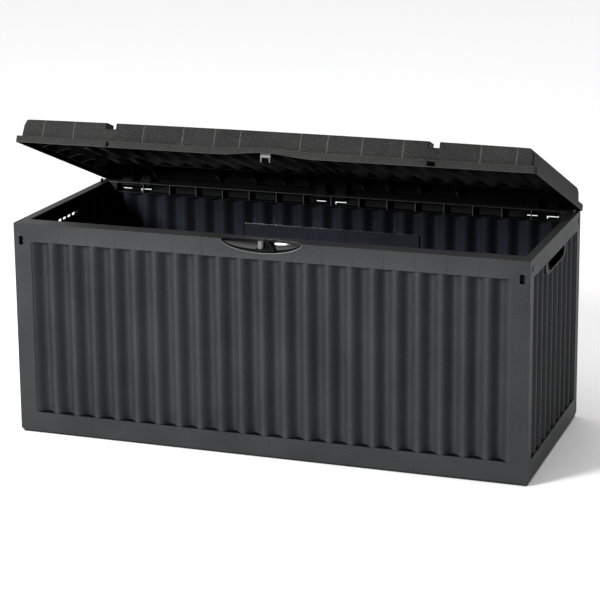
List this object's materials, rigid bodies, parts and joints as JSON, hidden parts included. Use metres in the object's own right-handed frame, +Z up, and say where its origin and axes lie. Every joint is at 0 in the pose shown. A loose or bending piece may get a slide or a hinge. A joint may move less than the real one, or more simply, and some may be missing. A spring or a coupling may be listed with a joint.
{
  "type": "deck storage box",
  "caption": "Corrugated resin garden storage box with clip-together walls, hand holes and a hinged lid standing ajar.",
  "frame": {"origin": "on the ground, under the middle of the box's floor pad", "axes": "+X along the box to its right, +Y from the front to the hinges, +Z up"},
  "size_m": [1.204, 0.5266, 0.7296],
  "materials": {
    "wall_resin": "fine grained anthracite, satin inside",
    "lid_resin": "fine grained anthracite, satin underneath",
    "floor_resin": "satin black",
    "clip_resin": "satin black",
    "tongue_resin": "satin grey"
  },
  "bodies": {
    "body": {"floor_panel": "floor_resin", "front_panel": "wall_resin", "rear_panel": "wall_resin", "left_panel": "wall_resin", "right_panel": "wall_resin", "corner_key_front_left": "clip_resin", "corner_key_front_right": "clip_resin", "corner_key_rear_left": "clip_resin", "corner_key_rear_right": "clip_resin", "lock_eye": "clip_resin", "hinge_bracket_left": "clip_resin", "hinge_bracket_center": "clip_resin", "hinge_bracket_right": "clip_resin", "hinge_pin_left": "clip_resin", "hinge_pin_center": "clip_resin", "hinge_pin_right": "clip_resin"},
    "lid": {"lid": "lid_resin", "lid_hasp": "tongue_resin", "lid_leaf_left": "clip_resin", "lid_leaf_center": "clip_resin", "lid_leaf_right": "clip_resin"}
  },
  "joints": [
    {"name": "lid_hinge", "type": "hinge", "parent": "body", "child": "lid", "pos_m": [0, 0.245, 0.488], "axis": [-1, 0, 0], "range_deg": [-21, 74]}
  ]
}
